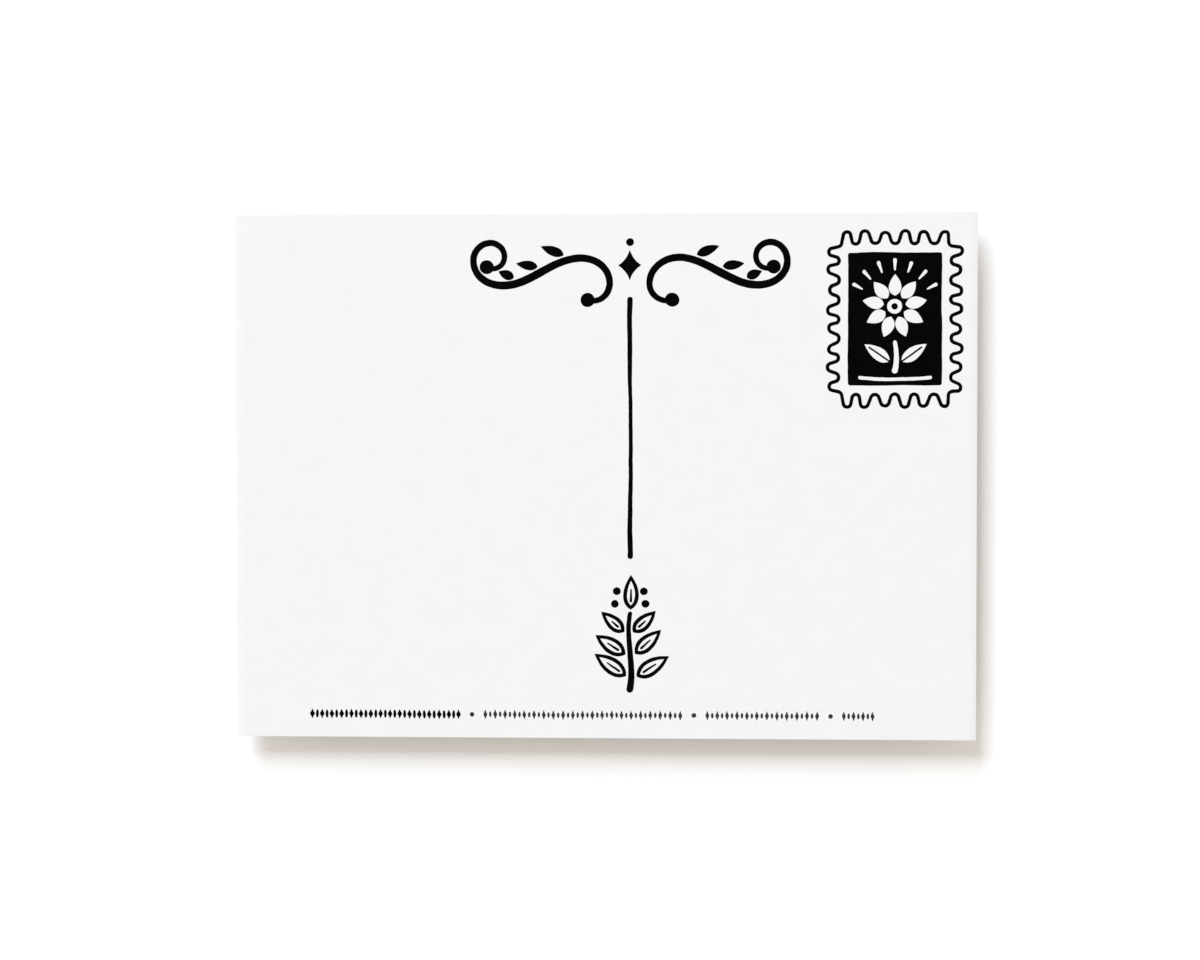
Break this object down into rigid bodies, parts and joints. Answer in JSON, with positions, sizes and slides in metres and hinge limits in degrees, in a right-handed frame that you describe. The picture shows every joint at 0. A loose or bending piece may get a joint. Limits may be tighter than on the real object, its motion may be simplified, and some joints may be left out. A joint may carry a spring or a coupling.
{
  "type": "postcard",
  "caption": "Square-cornered flat card of bonded white plies, printed in black for a message and an address on one side and with a picture on the other.",
  "frame": {"origin": "middle of the picture face, which the card lies on", "axes": "+X along the long side, +Y towards the top edge of the writing side, +Z out of the writing side"},
  "size_m": [0.1524, 0.108, 0.0004],
  "materials": {
    "white_board": "uncoated, fine tooth",
    "board_core": "uncoated, cut edge",
    "black_ink": "matt ink soaked in",
    "grey_ink": "matt ink soaked in"
  },
  "bodies": {
    "root": {"picture_ply": "white_board", "core_ply": "board_core", "writing_ply": "white_board", "heading_left_scroll": "black_ink", "heading_right_scroll": "black_ink", "heading_leaves": "black_ink", "heading_lozenge": "black_ink", "heading_dot": "black_ink", "divider_line": "black_ink", "sprig_stem": "black_ink", "sprig_leaf_outlines": "black_ink", "sprig_leaf_veins": "black_ink", "sprig_berries": "black_ink", "stamp_border": "black_ink", "stamp_panel": "black_ink", "stamp_flower_eye": "black_ink", "footer_dark_marks": "black_ink", "picture_keyline": "black_ink", "picture_sky": "black_ink", "picture_fields": "black_ink", "footer_grey_marks": "grey_ink", "footer_bullets": "grey_ink"}
  },
  "joints": []
}
